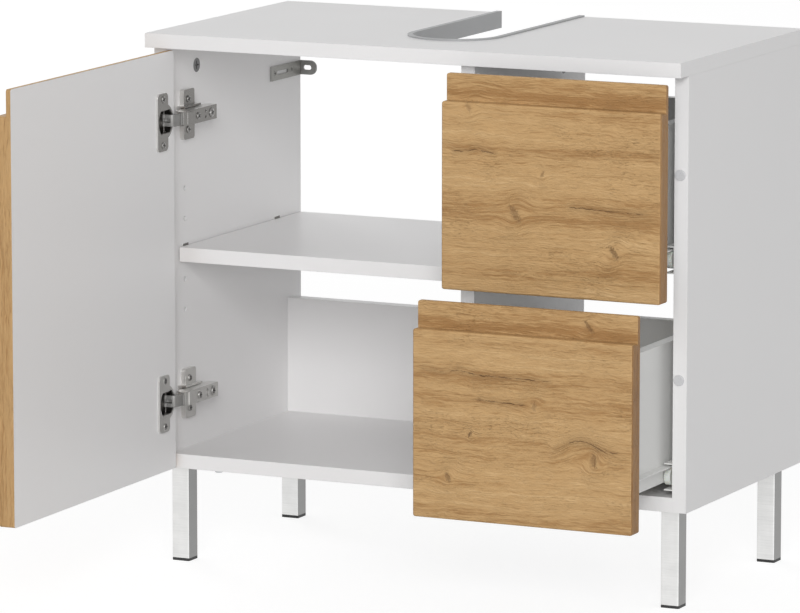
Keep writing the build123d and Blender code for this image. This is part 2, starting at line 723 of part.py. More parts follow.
def drawer(label, front_top, opening):
    """Export every piece of one drawer, drawn shut and then slid out by its opening."""
    slid = Pos(0, -opening, 0)
    shut_y = front_y - front_gap
    box_top = front_top - drawer_box_top_drop
    low = box_top - drawer_box_height
    back_y = shut_y + drawer_box_length
    front = front_panel(drawer_front_x, (front_top - front_height, front_top))
    base_low = low + drawer_base_height
    groove_x = (box_left + drawer_side - drawer_groove, box_right - drawer_side + drawer_groove)
    groove_y = (shut_y - drawer_groove_front, back_y - drawer_side + drawer_groove)
    groove_z = (base_low - drawer_groove_play, base_low + drawer_base + drawer_groove_play)
    groove = block(groove_x, groove_y, groove_z)
    base_x = (groove_x[0] + drawer_groove_play, groove_x[1] - drawer_groove_play)
    base_y = (groove_y[0] + drawer_groove_play, groove_y[1] - drawer_groove_play)
    base = block(base_x, base_y, (base_low, base_low + drawer_base))
    side_y = (shut_y, back_y)
    box_z = (low, box_top)
    walls = {
        "left": block((box_left, box_left + drawer_side), side_y, box_z),
        "right": block((box_right - drawer_side, box_right), side_y, box_z),
    }
    back = block((box_left + drawer_side, box_right - drawer_side), (back_y - drawer_side, back_y), box_z)
    front -= groove
    back -= groove
    pegs = []
    screws = []
    screw = sunk_screw(drawer_screw_radius, drawer_screw_head, drawer_screw_radius, drawer_screw_length)
    screw_cut = sunk_hole(drawer_screw_radius, drawer_screw_head, drawer_screw_radius, drawer_screw_length)
    for name, x, out in (("left", box_left, -1), ("right", box_right, 1)):
        wall = walls[name] - groove
        for rise in (drawer_dowel_low, drawer_dowel_high):
            centre = (x - out * drawer_side / 2, low + rise)
            peg_front = shut_y - drawer_dowel_front_depth
            span = (peg_front, peg_front + drawer_dowel_length)
            hole_span = (span[0] - drawer_hole_end, span[1] + drawer_hole_end)
            pegs.append(rod("y", centre, drawer_dowel_radius, span))
            hole = rod("y", centre, drawer_dowel_radius + fit, hole_span)
            wall -= hole
            front -= hole
            spot = (x, back_y - drawer_side / 2, low + rise)
            screws.append(aimed(spot, (out, 0, 0), screw))
            cut = aimed(spot, (out, 0, 0), screw_cut)
            wall -= cut
            back -= cut
        walls[name] = wall
    drawer_rails = []
    cabinet_rails = []
    front_rollers = []
    rear_rollers = []
    rail_screws = []
    rail_y = (y_at(runner_front), y_at(runner_front + runner_length))
    foot_z = low - runner_sheet
    for x, out, panel in runner_sides:
        def across(near, far):
            return sorted((x + out * near, x + out * far))

        web = block(across(0, runner_sheet), rail_y, (foot_z, low + drawer_rail_top))
        foot = block(across(-drawer_rail_foot, runner_sheet), rail_y, (foot_z, low))
        top_z = (low + drawer_rail_top - runner_sheet, low + drawer_rail_top)
        top = block(across(0, drawer_rail_reach), rail_y, top_z)
        rail = web + foot + top
        wall_x = runner_space
        flange_x = across(cabinet_rail_near, wall_x)
        floor_z = (low + cabinet_rail_floor - runner_sheet, low + cabinet_rail_floor)
        ceiling_z = (low + cabinet_rail_ceiling, low + cabinet_rail_ceiling + runner_sheet)
        web = block(across(wall_x - runner_sheet, wall_x), rail_y, (floor_z[0], ceiling_z[1]))
        floor = block(flange_x, rail_y, floor_z)
        ceiling = block(flange_x, rail_y, ceiling_z)
        fixed = web + floor + ceiling
        front_z = low + drawer_rail_top - runner_sheet - roller_gap - roller_radius
        rear_z = low + cabinet_rail_floor + roller_gap + roller_radius
        pair = ((front_rollers, front_roller_y, front_z), (rear_rollers, rear_roller_y, rear_z))
        for rollers, roller_y, z in pair:
            wheel = rod("x", (y_at(roller_y), z), roller_radius, across(roller_near, roller_far))
            rims = wheel.edges().filter_by(GeomType.CIRCLE)
            wheel = chamfer(rims, roller_chamfer)
            wheel -= rod("x", (y_at(roller_y), z), axle_radius + axle_fit, across(0, runner_space))
            rollers.append(wheel)
        front_axle = across(roller_near, wall_x - runner_sheet / 2)
        rear_axle = across(runner_sheet / 2, roller_far + axle_end_gap)
        rear_head = across(roller_far + axle_end_gap, roller_far + axle_end_gap + axle_head)
        fixed += rod("x", (y_at(front_roller_y), front_z), axle_radius, front_axle)
        rail += rod("x", (y_at(rear_roller_y), rear_z), axle_radius, rear_axle)
        rail += rod("x", (y_at(rear_roller_y), rear_z), axle_head_radius, rear_head)
        for index in range(runner_screw_count):
            distance = runner_screw_first + index * runner_screw_pitch
            web_middle = low + (cabinet_rail_floor + cabinet_rail_ceiling) / 2
            spot = (x + out * (wall_x - runner_sheet), y_at(distance), web_middle)
            runner_screws.append(aimed(spot, (-out, 0, 0), sunk))
            cut = aimed(spot, (-out, 0, 0), sunk_cut)
            fixed -= cut
            cuts[panel].append(cut)
            spot = (x - out * drawer_side / 2, y_at(distance), foot_z)
            rail_screws.append(aimed(spot, (0, 0, -1), sunk))
            cut = aimed(spot, (0, 0, -1), sunk_cut)
            rail -= cut
            side_name = "left" if out < 0 else "right"
            walls[side_name] = walls[side_name] - cut
        drawer_rails.append(slid * rail)
        cabinet_rails.append(fixed)
    save(label + "_drawer_front", [slid * front])
    save(label + "_drawer_left_side", [slid * walls["left"]])
    save(label + "_drawer_right_side", [slid * walls["right"]])
    save(label + "_drawer_back", [slid * back])
    save(label + "_drawer_base", [slid * base])
    save(label + "_drawer_dowels", [slid * peg for peg in pegs])
    save(label + "_drawer_screws", [slid * item for item in screws + rail_screws])
    save(label + "_drawer_rails", drawer_rails)
    save(label + "_rear_rollers", [slid * roller for roller in rear_rollers])
    save(label + "_cabinet_rails", cabinet_rails)
    save(label + "_front_rollers", front_rollers)


drawer("upper", fronts_top, upper_open)
drawer("lower", lower_front_top, lower_open)

# Carcass boards
top = block((-half, half), (-depth / 2, rear_y), (top_under, height))
left = block((-half, -inner), (front_y, rear_y), (leg_height, top_under))
right = block((inner, half), (front_y, rear_y), (leg_height, top_under))
base = block((-inner, inner), (front_y, rear_y), (leg_height, base_top))
divider = block((divider_left, divider_right), (front_y, rail_front), (base_top, top_under))
rail = block((-inner, inner), (rail_front, rail_front + board), (base_top, base_top + rail_height))
shelf_x = (-inner + shelf_end_gap, divider_left - shelf_end_gap)
shelf_y = (y_at(shelf_setback), rear_y - shelf_rear_gap)
shelf = block(shelf_x, shelf_y, (shelf_z - board, shelf_z))


# Siphon cut-out: a slot with a round front end, open to the rear
def slot_shape(radius, z):
    radius_y = rear_y - cutout_depth + cutout_width / 2
    straight = block((cutout_centre_x - radius, cutout_centre_x + radius), (radius_y, rear_y + 1), z)
    return straight + rod("z", (cutout_centre_x, radius_y), radius, z)


bore_radius = cutout_width / 2
lip_z = (top_under - edging_wall, height + edging_wall)
edging = slot_shape(bore_radius + edging_lip, lip_z)
edging -= slot_shape(bore_radius, (lip_z[0] - 1, lip_z[1] + 1))
gap_z = (top_under, height)
edging -= slot_shape(bore_radius + 2 * edging_lip, gap_z) - slot_shape(bore_radius + edging_wall, gap_z)
edging -= block((-half, half), (rear_y, rear_y + 5), (lip_z[0] - 1, lip_z[1] + 1))
top -= slot_shape(bore_radius + edging_wall, (top_under - 1, height + 1))

boards = {"top": top, "left": left, "right": right, "base": base, "divider": divider, "rail": rail}
for name, piece in boards.items():
    boards[name] = piece - cuts[name]

save("top_panel", [boards["top"]])
save("left_side", [boards["left"]])
save("right_side", [boards["right"]])
save("bottom_panel", [boards["base"]])
save("divider", [boards["divider"]])
save("rear_rail", [boards["rail"]])
save("shelf", [shelf])
save("shelf_supports", supports)
save("cutout_edging", [edging])
save("cam_locks", cams)
save("cam_bolts", bolts)
save("dowels", dowels)
save("confirmat_screws", confirmats)
for name, tube in legs.items():
    save(name, [tube])
save("leg_plates", plates)
save("leg_plate_screws", leg_screws)
save("foot_pads", pads)
save("wall_brackets", brackets)
save("wall_bracket_screws", bracket_screws)
save("bumpers", bumpers)
save("runner_screws", runner_screws)
save("hinge_plates", hinge_plates)
save("hinge_plate_screws", hinge_plate_screws)
save("hinge_arms", arms)
save("hinge_arm_screws", hinge_arm_screws)
save("hinge_pins", hinge_pins)
save("hinge_outer_links", outer_links)
save("hinge_inner_links", inner_links)
save("hinge_cups", cups)
save("cup_screws", cup_screws)
save("door_panel", [door])
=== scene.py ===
"""Looks for the vanity base cabinet: materials, lamps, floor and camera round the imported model, in metres."""
import json
import math

import bmesh
import bpy
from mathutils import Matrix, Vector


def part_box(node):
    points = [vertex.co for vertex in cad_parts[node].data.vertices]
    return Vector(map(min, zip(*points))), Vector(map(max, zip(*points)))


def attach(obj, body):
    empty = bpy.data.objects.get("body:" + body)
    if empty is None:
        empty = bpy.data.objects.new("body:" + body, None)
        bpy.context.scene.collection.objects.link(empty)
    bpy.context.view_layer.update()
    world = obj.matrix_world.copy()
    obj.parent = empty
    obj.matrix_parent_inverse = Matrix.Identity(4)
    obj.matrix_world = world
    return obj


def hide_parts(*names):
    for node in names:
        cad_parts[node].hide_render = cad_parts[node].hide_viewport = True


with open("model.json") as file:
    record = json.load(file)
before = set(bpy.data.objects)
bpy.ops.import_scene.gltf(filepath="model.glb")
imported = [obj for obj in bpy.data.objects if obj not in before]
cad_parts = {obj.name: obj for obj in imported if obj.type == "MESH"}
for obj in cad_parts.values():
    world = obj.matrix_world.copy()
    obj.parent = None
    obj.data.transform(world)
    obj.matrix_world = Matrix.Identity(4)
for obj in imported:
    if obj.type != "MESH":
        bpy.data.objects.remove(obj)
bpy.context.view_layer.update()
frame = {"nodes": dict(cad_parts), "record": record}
parts = frame["nodes"]


# Colours and node graphs

def linear(red, green, blue):
    """A colour written as 0 to 255 screen values, as the linear values that a shader takes."""
    def channel(value):
        value /= 255
        return value / 12.92 if value <= 0.04045 else ((value + 0.055) / 1.055) ** 2.4
    return (channel(red), channel(green), channel(blue), 1.0)


class Flow:
    """A socket of a node graph that can be added, multiplied and so on."""

    def __init__(self, graph, socket):
        self.graph = graph
        self.socket = socket

    def __add__(self, other):
        return self.graph.math("ADD", self, other)

    def __radd__(self, other):
        return self.graph.math("ADD", other, self)

    def __sub__(self, other):
        return self.graph.math("SUBTRACT", self, other)

    def __rsub__(self, other):
        return self.graph.math("SUBTRACT", other, self)

    def __mul__(self, other):
        return self.graph.math("MULTIPLY", self, other)

    def __truediv__(self, other):
        return self.graph.math("DIVIDE", self, other)


class Graph:
    """A material's node tree, with one short call for each kind of node."""

    def __init__(self, tree):
        self.tree = tree
        self.tree.nodes.clear()

    def node(self, kind, **settings):
        made = self.tree.nodes.new(kind)
        for name, value in settings.items():
            setattr(made, name, value)
        return made

    def plug(self, socket, value):
        if isinstance(value, Flow):
            self.tree.links.new(value.socket, socket)
        elif value is not None:
            socket.default_value = value

    def math(self, operation, first, second=None):
        made = self.node("ShaderNodeMath", operation=operation)
        for socket, value in zip(made.inputs, (first, second)):
            self.plug(socket, value)
        return Flow(self, made.outputs[0])

    def greater(self, first, second):
        return self.math("GREATER_THAN", first, second)

    def bell(self, value, width):
        """1 where value is 0, falling to about a third where it is width."""
        scaled = value / width
        return self.math("EXPONENT", scaled * scaled * -1.0)

    def step(self, value, low, high, to_low=0.0, to_high=1.0):
        """A smooth step from to_low to to_high as value goes from low to high."""
        made = self.node("ShaderNodeMapRange", interpolation_type="SMOOTHSTEP")
        limits = {"From Min": low, "From Max": high, "To Min": to_low, "To Max": to_high}
        for name, limit in limits.items():
            made.inputs[name].default_value = limit
        self.plug(made.inputs["Value"], value)
        return Flow(self, made.outputs["Result"])

    def coordinates(self, output="Object"):
        """The x, y and z of the surface point in the part's own frame, or of its normal."""
        place = self.node("ShaderNodeTexCoord")
        split = self.node("ShaderNodeSeparateXYZ")
        self.tree.links.new(place.outputs[output], split.inputs[0])
        return [Flow(self, socket) for socket in split.outputs]

    def combine(self, x, y, z):
        made = self.node("ShaderNodeCombineXYZ")
        for socket, value in zip(made.inputs, (x, y, z)):
            self.plug(socket, value)
        return Flow(self, made.outputs[0])

    def noise(self, vector, scale, detail=2.0, roughness=0.5):
        made = self.node("ShaderNodeTexNoise")
        self.plug(made.inputs["Vector"], vector)
        made.inputs["Scale"].default_value = scale
        made.inputs["Detail"].default_value = detail
        made.inputs["Roughness"].default_value = roughness
        return Flow(self, made.outputs[0])

    def noise_at(self, x, y, z, detail=2.0, roughness=0.5):
        """Noise whose scale along each axis is already in x, y and z."""
        return self.noise(self.combine(x, y, z), 1.0, detail, roughness)

    def curve(self, value, points):
        """A smooth curve through the points, value and result both from 0 to 1."""
        made = self.node("ShaderNodeFloatCurve")
        line = made.mapping.curves[0]
        while len(line.points) < len(points):
            line.points.new(0.5, 0.5)
        for point, (x, y) in zip(line.points, points):
            point.location = (x, y)
        made.mapping.update()
        self.plug(made.inputs["Value"], value)
        return Flow(self, made.outputs[0])

    def mix(self, factor, first, second, blend="MIX"):
        made = self.node("ShaderNodeMix", data_type="RGBA", blend_type=blend)
        self.plug(made.inputs["Factor"], factor)
        self.plug(made.inputs["A"], first)
        self.plug(made.inputs["B"], second)
        return Flow(self, made.outputs["Result"])

    def dim(self, colour, amount):
        """colour multiplied by a grey amount."""
        grey = self.combine(amount, amount, amount)
        return self.mix(1.0, colour, grey, "MULTIPLY")

    def surface(self, colour, roughness, height, depth, edge, **uniform):
        """The shader and its output.

        colour and roughness may be flows, height is bump of the given depth, and edge is the radius that
        corners look rounded by. uniform are the shader's own sockets, with _ for each space.
        """
        shader = self.node("ShaderNodeBsdfPrincipled")
        self.plug(shader.inputs["Base Color"], colour)
        self.plug(shader.inputs["Roughness"], roughness)
        for name, value in uniform.items():
            shader.inputs[name.replace("_", " ")].default_value = value
        rounding = self.node("ShaderNodeBevel", samples=4)
        rounding.inputs["Radius"].default_value = edge
        bump = self.node("ShaderNodeBump")
        bump.inputs["Strength"].default_value = 1.0
        bump.inputs["Distance"].default_value = depth
        self.plug(bump.inputs["Height"], height)
        self.tree.links.new(rounding.outputs["Normal"], bump.inputs["Normal"])
        self.tree.links.new(bump.outputs["Normal"], shader.inputs["Normal"])
        output = self.node("ShaderNodeOutputMaterial")
        self.tree.links.new(shader.outputs[0], output.inputs["Surface"])


def new_material(name):
    material = bpy.data.materials.new(name)
    material.use_nodes = True
    return material, Graph(material.node_tree)


def add_object(name, data):
    """A new object in the scene that shows the data."""
    made = bpy.data.objects.new(name, data)
    bpy.context.scene.collection.objects.link(made)
    return made


def smooth(mesh):
    """Smooth shading, apart from edges that turn by more than SHARP."""
    mesh.polygons.foreach_set("use_smooth", [True] * len(mesh.polygons))
    mesh.set_sharp_from_angle(angle=SHARP)


SHARP = 0.6
X_AXIS = 0
Y_AXIS = 1
Z_AXIS = 2


# Materials

def melamine(name, tone, speckle=0.012):
    """White melamine board: an even tone with faint clouds, fine orange peel and softened edges."""
    material, graph = new_material(name)
    x, y, z = graph.coordinates()
    place = graph.combine(x, y, z)
    clouds = graph.noise(place, 9.0, 3.0)
    grains = graph.noise(place, 900.0)
    shade = 1.0 + (clouds - 0.5) * 0.03 + (grains - 0.5) * speckle
    graph.surface(
        graph.dim(tone, shade),
        0.34 + (clouds - 0.5) * 0.12,
        graph.noise(place, 1500.0),
        0.00002,
        edge=0.0006,
        Specular_IOR_Level=0.3,
    )
    return material


OAK_LIGHT = linear(217, 181, 131)
OAK_MID = linear(198, 160, 110)
OAK_DARK = linear(168, 127, 79)
OAK_PORE = linear(150, 110, 66)
OAK_CRACK = linear(86, 58, 28)
OAK_RELIEF = 0.0014
END_FROM = 0.6
REAR_FROM = 0.9
WANDER = 0.022
RIPPLE = 0.006
CRACK_SWING = 0.04
CRACK_WOBBLE = 0.0032
CRACK_WIDTH = 0.00055
CRACK_HALO = 0.0045
CRACK_PULL = 0.016
KNOT_PULL = 0.8
KNOT_RAGGED = 3.4
BAND_WANDER = 0.012


def oak(name, along, outward, inner_normal, low, seed, end_shade, lines, knots, bands):
    """Oak decor with its grain level, on a front whose rear face is white.

    along and outward are the axes of the grain and of the front's thickness, and inner_normal is the x and y
    of the way that the rear face looks. low is where the front starts along the grain, and places along it
    are measured from there. end_shade multiplies the colour of the narrow ends: painted shade for ends that
    face away from the light. In metres, lines are cracks as (start, end, height, points), knots are (place,
    height, radius, tilt, depth) and bands are (height, half width, darkness). A crack's points are shares of
    its length and of CRACK_SWING, 0.5 being its height.
    """
    material, graph = new_material(name)
    point = graph.coordinates()
    normal = graph.coordinates("Normal")
    height = point[Z_AXIS]
    side = graph.greater(graph.math("ABSOLUTE", normal[along]), END_FROM)
    level = (point[along] - low) * (1.0 - side) + height * side
    rise = (height - point[outward]) * (1.0 - side) + point[outward] * side

    def grain_noise(along_scale, across_scale, offset, detail=2.0, roughness=0.5):
        return graph.noise_at(
            level * along_scale, flow * across_scale, seed + offset, detail, roughness,
        ) - 0.5

    wander = graph.noise_at(level * 3.0, rise * 7.0, seed) - 0.5
    ripple = graph.noise_at(level * 34.0, rise * 46.0, seed + 3.1) - 0.5
    flow = rise + wander * WANDER + ripple * RIPPLE

    marks = []
    for start, end, middle, points in lines:
        along_line = (level - start) / (end - start)
        offset = (graph.curve(along_line, points) - 0.5) * CRACK_SWING
        wobble = graph.noise_at(level * 260.0, middle * 90.0, seed, 4.0, 0.7) - 0.5
        path = height - middle - offset + wobble * CRACK_WOBBLE
        inside = graph.step(along_line, 0.0, 0.12) * graph.step(along_line, 0.8, 1.0, 1.0, 0.0)
        broken = graph.step(graph.noise_at(level * 110.0, middle * 50.0, seed, 3.0), 0.38, 0.58)
        core = graph.bell(path, CRACK_WIDTH) * inside * (0.25 + broken * 0.6)
        halo = graph.bell(path, CRACK_HALO) * inside * 0.2
        marks.append(graph.math("MAXIMUM", core, halo))
        flow = flow - offset * graph.bell(height - middle, CRACK_PULL) * inside
    for place, middle, radius, tilt, depth in knots:
        away = level - place
        up = height - middle
        turned = up - away * tilt
        far = away * away * (1.0 / (radius * 2.0) ** 2) + turned * turned * (1.0 / (radius * 2.4) ** 2)
        pull = graph.math("EXPONENT", far * -1.0)
        flow = flow - up * pull * KNOT_PULL
        near = (away + up * tilt) / (radius * 0.55)
        tall = up / radius
        gap = graph.math("SQRT", near * near + tall * tall)
        torn = graph.noise_at(level * 700.0, height * 420.0, seed, 4.0, 0.7) - 0.5
        spot = graph.step(gap + torn * KNOT_RAGGED, 0.3, 1.5, depth, 0.0)
        glow = graph.math("EXPONENT", far * -2.5) * depth * 0.26
        marks.append(graph.math("MAXIMUM", spot, glow))
    dark = marks[0]
    for mark in marks[1:]:
        dark = graph.math("MAXIMUM", dark, mark)

    broad = grain_noise(2.2, 44.0, 7.7, 3.0, 0.55)
    streak = grain_noise(5.0, 250.0, 1.3, 4.0, 0.65)
    emboss = grain_noise(48.0, 620.0, 4.4, 3.0, 0.65)
    fibre = grain_noise(90.0, 1300.0, 5.5, 2.0, 0.6)
    pores = grain_noise(170.0, 1500.0, 9.1, 1.0)
    patches = graph.noise_at(level * 14.0, flow * 30.0, seed + 6.2)

    lightness = 0.5 + broad * 1.1 + streak * 0.9 + emboss * 1.2 + fibre * 0.6
    for middle, half, amount in bands:
        shift = (graph.noise_at(level * 9.0, middle * 40.0, seed + 2.0, 3.0) - 0.5) * BAND_WANDER
        band = graph.bell(height - middle + shift, half)
        lightness = lightness - band * amount * (1.0 - side)
    colour = graph.mix(graph.step(lightness, 0.0, 0.5), OAK_DARK, OAK_MID)
    colour = graph.mix(graph.step(lightness, 0.5, 1.0), colour, OAK_LIGHT)
    pore_mask = graph.step(pores, 0.1, 0.22) * graph.step(patches, 0.45, 0.7)
    colour = graph.mix(pore_mask * 0.42, colour, OAK_PORE)
    # The narrow ends are multiplied darker: painted shade.
    colour = graph.mix(side, colour, graph.mix(1.0, colour, (*end_shade, 1.0), "MULTIPLY"))
    colour = graph.mix(dark * (1.0 - side), colour, OAK_CRACK)

    facing = normal[X_AXIS] * inner_normal[0] + normal[Y_AXIS] * inner_normal[1]
    white = graph.greater(facing, REAR_FROM)
    relief = emboss + fibre * 0.5 + streak * 0.4 - pore_mask * 0.25 - dark * 0.5
    graph.surface(
        graph.mix(white, colour, WHITE_TONE),
        0.5 + fibre * 0.2 - white * 0.12,
        relief * (1.0 - white),
        OAK_RELIEF,
        edge=0.0008,
        Specular_IOR_Level=0.35,
    )
    return material


SIDEWAYS_FROM = 0.8
SUNK_FROM = 0.0004


def metal(name, tone, roughness, patch, brushed=None, metallic=1.0, bump=0.00001, edge=0.0002,
          across=None, above=None, sunk=None):
    """Bare or plated metal. brushed gives the noise scale along x, y and z, for drawn or ground surfaces.

    patch is how much the tone varies. across is the tone of the faces that look along x, a painted shade for
    sides that face away from the light, and above is (height, tone) for those over that height, a deeper
    painted shade for the upper hinge. sunk is the tone of what lies behind the plane of the open door's rear
    face, a painted shade in the hollow of the hinge cup.
    """
    material, graph = new_material(name)
    x, y, z = graph.coordinates()
    # Faces that look along x, and more so those above a height, take a darker tone: painted shade.
    if above:
        across = graph.mix(graph.greater(z, above[0]), across, above[1])
    if across:
        sideways = graph.math("ABSOLUTE", graph.coordinates("Normal")[X_AXIS])
        tone = graph.mix(graph.greater(sideways, SIDEWAYS_FROM), tone, across)
    # What lies behind the door's rear face, the hollow of the hinge cup, takes a darker tone: painted shade.
    if sunk:
        depth = DOOR_REAR_FACE - x * DOOR_NORMAL[0] - y * DOOR_NORMAL[1]
        tone = graph.mix(graph.greater(depth, SUNK_FROM), tone, sunk)
    place = graph.combine(x, y, z)
    clouds = graph.noise(place, 60.0, 3.0)
    if brushed:
        lines = graph.noise_at(x * brushed[0], y * brushed[1], z * brushed[2], 4.0, 0.7)
    else:
        lines = graph.noise(place, 2600.0, 3.0, 0.6)
    shade = 1.0 + (clouds - 0.5) * patch + (lines - 0.5) * patch * 1.4
    graph.surface(
        graph.dim(tone, shade),
        roughness + (lines - 0.5) * 0.22 + (clouds - 0.5) * 0.08,
        lines,
        bump,
        edge=edge,
        Metallic=metallic,
    )
    return material


def plastic(name, tone, roughness, peel, **uniform):
    """Moulded plastic: faint clouds, a fine moulded texture of scale peel and softened edges."""
    material, graph = new_material(name)
    x, y, z = graph.coordinates()
    place = graph.combine(x, y, z)
    clouds = graph.noise(place, 25.0, 3.0)
    texture = graph.noise(place, peel, 3.0, 0.6)
    shade = 1.0 + (clouds - 0.5) * 0.06 + (texture - 0.5) * 0.05
    graph.surface(
        graph.dim(tone, shade),
        roughness + (texture - 0.5) * 0.2,
        texture,
        0.00003,
        edge=0.0003,
        **uniform,
    )
    return material


def beech(name):
    """Turned beech dowels with the grain along x or z and short dark flecks."""
    material, graph = new_material(name)
    x, y, z = graph.coordinates()
    grain = graph.noise_at(x * 60.0, y * 700.0, z * 60.0, 3.0)
    flecks = graph.step(graph.noise_at(x * 300.0, y * 2400.0, z * 300.0), 0.62, 0.7)
    colour = graph.mix(grain, linear(203, 166, 122), linear(228, 196, 154))
    graph.surface(
        graph.mix(flecks * 0.5, colour, linear(158, 112, 74)),
        0.6 + (grain - 0.5) * 0.2,
        grain,
        0.0001,
        edge=0.0002,
    )
    return material


DOOR_NORMAL = (0.99985, 0.01745)
DOOR_REAR_FACE = -0.27659
WHITE_TONE = linear(236, 235, 235)
DRAWER_TONE = linear(233, 233, 231)

white_board = melamine("white_melamine", WHITE_TONE)
drawer_board = melamine("drawer_melamine", DRAWER_TONE)
drawer_base = melamine("laminated_fibreboard", linear(228, 227, 222), 0.04)

DRAWER_FRONTS = {
    "along": X_AXIS,
    "outward": Y_AXIS,
    "inner_normal": (0, 1),
    "low": 0.061,
    # Painted shade on the drawer fronts' narrow ends, which face away from the light.
    "end_shade": (0.62, 0.53, 0.44),
}
upper_oak = oak(
    "oak_upper_front",
    **DRAWER_FRONTS,
    seed=4.2,
    lines=[
        (0.008, 0.066, 0.466, [(0.0, 0.49), (0.3, 0.47), (0.5, 0.53), (0.75, 0.48), (1.0, 0.43)]),
        (0.132, 0.235, 0.4145, [(0.0, 0.53), (0.35, 0.5), (0.7, 0.46), (1.0, 0.47)]),
    ],
    knots=[
        (0.081, 0.405, 0.0075, 0.5, 0.5),
        (0.189, 0.3725, 0.006, 0.55, 0.62),
        (0.111, 0.4465, 0.003, -0.3, 0.45),
        (0.030, 0.509, 0.0045, 0.3, 0.35),
    ],
    bands=[
        (0.522, 0.006, 0.42),
        (0.47, 0.006, 0.28),
        (0.421, 0.010, 0.26),
        (0.401, 0.010, 0.24),
        (0.347, 0.008, 0.3),
    ],
)
lower_oak = oak(
    "oak_lower_front",
    **DRAWER_FRONTS,
    seed=11.9,
    lines=[
        (
            0.0, 0.165, 0.252,
            [(0.0, 0.62), (0.2, 0.5), (0.3, 0.56), (0.42, 0.49), (0.6, 0.48), (1.0, 0.46)],
        ),
        (0.066, 0.132, 0.2255, [(0.0, 0.53), (0.4, 0.51), (0.7, 0.49), (1.0, 0.47)]),
        (
            0.148, 0.232, 0.185,
            [(0.0, 0.32), (0.18, 0.52), (0.36, 0.7), (0.5, 0.69), (0.75, 0.5), (1.0, 0.52)],
        ),
    ],
    knots=[
        (0.133, 0.2245, 0.0045, 0.1, 0.4),
        (0.063, 0.191, 0.003, -0.5, 0.75),
        (0.039, 0.1457, 0.005, 0.3, 0.5),
        (0.198, 0.175, 0.0065, 0.0, 0.45),
        (0.186, 0.3065, 0.005, 0.7, 0.6),
    ],
    bands=[
        (0.301, 0.006, 0.42),
        (0.2475, 0.006, 0.2),
        (0.228, 0.007, 0.2),
        (0.187, 0.010, 0.18),
        (0.113, 0.007, 0.32),
    ],
)
door_oak = oak(
    "oak_door",
    along=Y_AXIS,
    outward=X_AXIS,
    inner_normal=DOOR_NORMAL,
    low=-0.5082,
    seed=7.3,
    # A faint painted shade on the door's narrow edges.
    end_shade=(0.97, 0.95, 0.93),
    lines=[
        (0.06, 0.19, 0.44, [(0.0, 0.45), (0.3, 0.55), (0.6, 0.5), (1.0, 0.47)]),
        (0.2, 0.31, 0.21, [(0.0, 0.4), (0.4, 0.62), (0.7, 0.5), (1.0, 0.46)]),
    ],
    knots=[
        (0.11, 0.33, 0.006, 0.4, 0.5),
        (0.27, 0.39, 0.0045, -0.4, 0.6),
        (0.08, 0.16, 0.005, 0.3, 0.55),
    ],
    bands=[
        (0.522, 0.006, 0.42),
        (0.41, 0.012, 0.28),
        (0.3, 0.01, 0.22),
        (0.17, 0.012, 0.28),
    ],
)

HINGE_DIVIDE = 0.32
NICKEL_TONE = linear(226, 225, 223)
# The rounded-edge radius, with painted shade: faces that look along x are darker, and those above HINGE_DIVIDE,
# on the upper hinge, darker still.
NICKEL_EDGE_AND_SHADE = {
    "edge": 0.0004,
    "across": linear(196, 195, 192),
    "above": (HINGE_DIVIDE, linear(122, 120, 117)),
}
nickel = metal("nickel_plate", NICKEL_TONE, 0.3, 0.12, **NICKEL_EDGE_AND_SHADE)
# across paints shade on the links' faces that look along x.
nickel_link = metal(
    "nickel_link", linear(150, 149, 147), 0.5, 0.1, metallic=0.3, across=linear(142, 141, 139),
)
# across paints shade on the screw heads' faces that look along x.
nickel_screw = metal(
    "nickel_screw", linear(192, 191, 189), 0.32, 0.12, edge=0.00015, across=linear(150, 149, 147),
)
# sunk paints shade into the hollow of the hinge cup.
nickel_cup = metal("nickel_cup", NICKEL_TONE, 0.3, 0.12, sunk=linear(112, 110, 108), **NICKEL_EDGE_AND_SHADE)
# The driver recesses take this darker tone: painted shade inside the recess.
recess_shade_metal = metal("screw_recess_shade", linear(92, 91, 89), 0.5, 0.1, metallic=0.6)
cam_zinc = metal("cast_zinc", linear(112, 112, 112), 0.45, 0.2, bump=0.00003)
zinc = metal("zinc_plate", linear(196, 198, 200), 0.34, 0.12)
# across paints shade on the bracket faces that look along x.
bracket = metal(
    "dark_zinc", linear(170, 170, 168), 0.42, 0.12, metallic=0.8, across=linear(138, 137, 133),
)
# across paints shade on the legs' sides that look along x, which are darker than the lit fronts.
leg_steel = metal(
    "brushed_steel", linear(227, 227, 226), 0.38, 0.2, brushed=(30.0, 30.0, 1150.0),
    across=linear(146, 146, 145),
)
runner = plastic("runner_coat", linear(228, 228, 226), 0.36, 500.0)
nylon = plastic("nylon", linear(222, 222, 216), 0.42, 900.0, Subsurface_Weight=0.1)
edging = plastic("edging_plastic", linear(166, 167, 168), 0.42, 1200.0)
pad = plastic("pad_plastic", linear(38, 38, 38), 0.5, 800.0)
bumper = plastic("bumper_plastic", linear(220, 220, 222), 0.3, 800.0, Transmission_Weight=0.15)
dowel_wood = beech("beech_dowel")

